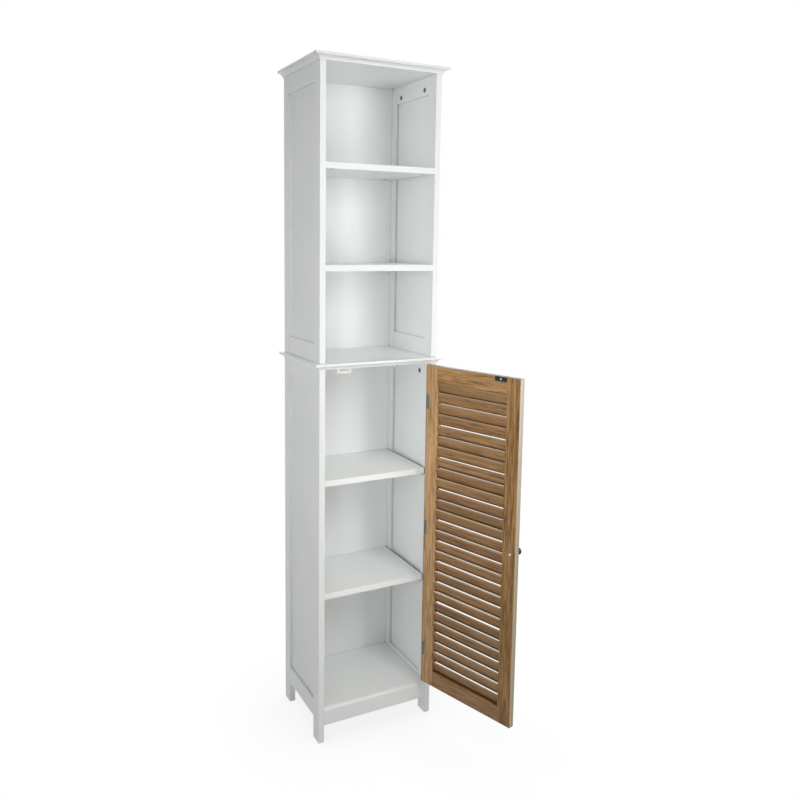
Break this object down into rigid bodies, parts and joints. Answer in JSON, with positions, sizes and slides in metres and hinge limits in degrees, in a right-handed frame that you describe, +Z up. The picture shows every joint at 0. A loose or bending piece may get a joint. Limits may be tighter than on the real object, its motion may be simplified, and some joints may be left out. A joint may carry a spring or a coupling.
{
  "type": "tall cabinet",
  "caption": "Tall narrow bathroom cabinet: open shelves above, and a lower case closed by an inset louvred door on butt hinges.",
  "frame": {"origin": "on the floor, at the centre of the rectangle round the four feet", "axes": "+Z up, +X to the cabinet's right as seen from the front, front towards -Y"},
  "size_m": [0.4306, 0.5271, 1.7],
  "materials": {
    "white_paint": "satin white paint on board",
    "panel_white": "thin white-faced fibreboard",
    "oak_foil": "matt oak-effect foil with a fine straight grain",
    "steel": "plain zinc-plated steel",
    "cam_zinc": "dark die-cast zinc",
    "catch_plastic": "white moulded plastic",
    "magnet": "dark ferrite",
    "knob_black": "satin black paint"
  },
  "bodies": {
    "cabinet": {"crown_board": "white_paint", "middle_board": "white_paint", "bottom_board": "white_paint", "front_apron": "white_paint", "upper_left_front_stile": "white_paint", "upper_left_rear_stile": "white_paint", "upper_left_top_rail": "white_paint", "upper_left_bottom_rail": "white_paint", "upper_left_panel": "panel_white", "upper_right_front_stile": "white_paint", "upper_right_rear_stile": "white_paint", "upper_right_top_rail": "white_paint", "upper_right_bottom_rail": "white_paint", "upper_right_panel": "panel_white", "upper_high_shelf": "white_paint", "upper_low_shelf": "white_paint", "upper_back_panel": "panel_white", "lower_left_front_leg": "white_paint", "lower_left_rear_leg": "white_paint", "lower_left_top_rail": "white_paint", "lower_left_bottom_rail": "white_paint", "lower_left_panel": "panel_white", "lower_right_front_leg": "white_paint", "lower_right_rear_leg": "white_paint", "lower_right_top_rail": "white_paint", "lower_right_bottom_rail": "white_paint", "lower_right_panel": "panel_white", "lower_high_shelf": "white_paint", "lower_low_shelf": "white_paint", "lower_back_panel": "panel_white", "rail_cam_locks": "cam_zinc", "rail_cam_bolts": "steel", "shelf_cam_locks": "cam_zinc", "shelf_cam_bolts": "steel", "shelf_supports": "steel", "magnetic_catch": "catch_plastic", "catch_magnet": "magnet", "catch_screws": "steel", "hinge_frame_leaves": "steel", "hinge_pins": "steel", "hinge_frame_screws": "steel"},
    "door": {"door_hinge_stile": "oak_foil", "door_free_stile": "oak_foil", "door_top_rail": "oak_foil", "door_bottom_rail": "oak_foil", "louvre_slats": "oak_foil", "knob": "knob_black", "knob_screw": "steel", "strike_plate": "cam_zinc", "strike_screw": "steel", "hinge_door_leaves": "steel", "hinge_door_screws": "steel"}
  },
  "joints": [
    {"name": "door_hinge", "type": "hinge", "parent": "cabinet", "child": "door", "pos_m": [0.1465, -0.1235, 0.527], "axis": [0, 0, 1], "range_deg": [-107.5, 62.5]}
  ]
}
